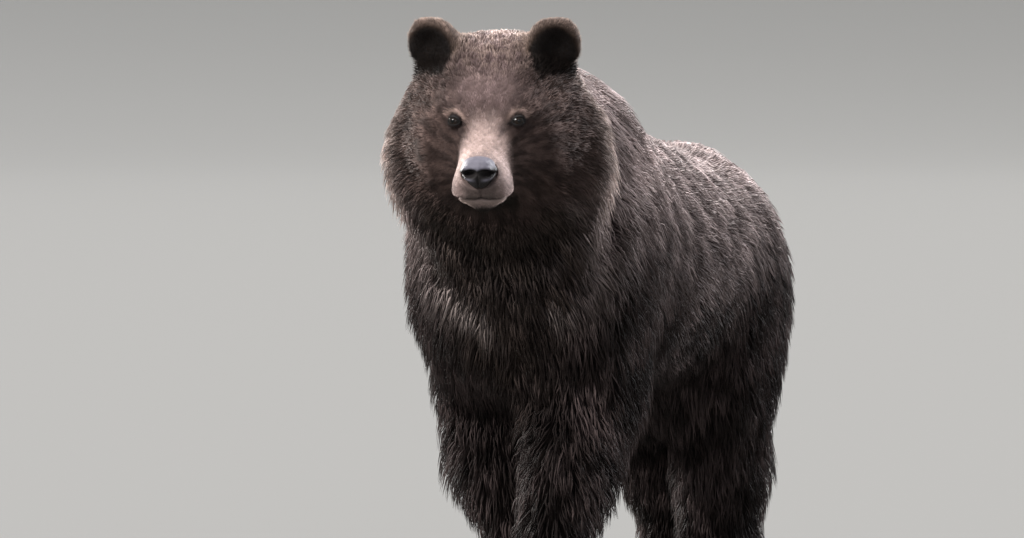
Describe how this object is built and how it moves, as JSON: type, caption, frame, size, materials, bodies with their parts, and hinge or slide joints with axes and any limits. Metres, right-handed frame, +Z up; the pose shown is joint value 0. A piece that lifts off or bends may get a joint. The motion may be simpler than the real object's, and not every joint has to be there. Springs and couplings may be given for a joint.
{
  "type": "grizzly bear",
  "caption": "Life-size still grizzly bear standing in a slow walk, head turned a little to its left, mouth closed, in a full shaggy coat.",
  "frame": {"origin": "centre of the bounding box's footprint, on the plane of the soles", "axes": "+Z up, -Y the way the bear's body faces, +X its left side; +Y runs back along the body"},
  "size_m": [0.5332, 1.8488, 1.1759],
  "materials": {
    "body_coat": "long dark brown guard hair with pale taupe tips on the back and flanks",
    "face_coat": "short dense mid-brown hair",
    "muzzle_coat": "very short tan hair",
    "ear_coat": "short dark hair with a paler rim",
    "leg_coat": "long near-black shaggy hair",
    "nose_leather": "moist black nose leather",
    "eye": "wet dark brown eye",
    "claw_horn": "dull dark horn"
  },
  "bodies": {
    "root": {"trunk": "body_coat", "neck": "body_coat", "tail": "body_coat", "head": "face_coat", "muzzle": "muzzle_coat", "lower_jaw": "muzzle_coat", "nose": "nose_leather", "ear_left": "ear_coat", "ear_right": "ear_coat", "eye_left": "eye", "eye_right": "eye", "foreleg_left": "leg_coat", "foreleg_right": "leg_coat", "hindleg_left": "leg_coat", "hindleg_right": "leg_coat", "forepaw_left": "leg_coat", "forepaw_right": "leg_coat", "hindpaw_left": "leg_coat", "hindpaw_right": "leg_coat", "claw_fore_left_1": "claw_horn", "claw_fore_left_2": "claw_horn", "claw_fore_left_3": "claw_horn", "claw_fore_left_4": "claw_horn", "claw_fore_left_5": "claw_horn", "claw_fore_right_1": "claw_horn", "claw_fore_right_2": "claw_horn", "claw_fore_right_3": "claw_horn", "claw_fore_right_4": "claw_horn", "claw_fore_right_5": "claw_horn", "claw_hind_left_1": "claw_horn", "claw_hind_left_2": "claw_horn", "claw_hind_left_3": "claw_horn", "claw_hind_left_4": "claw_horn", "claw_hind_left_5": "claw_horn", "claw_hind_right_1": "claw_horn", "claw_hind_right_2": "claw_horn", "claw_hind_right_3": "claw_horn", "claw_hind_right_4": "claw_horn", "claw_hind_right_5": "claw_horn"}
  },
  "joints": []
}
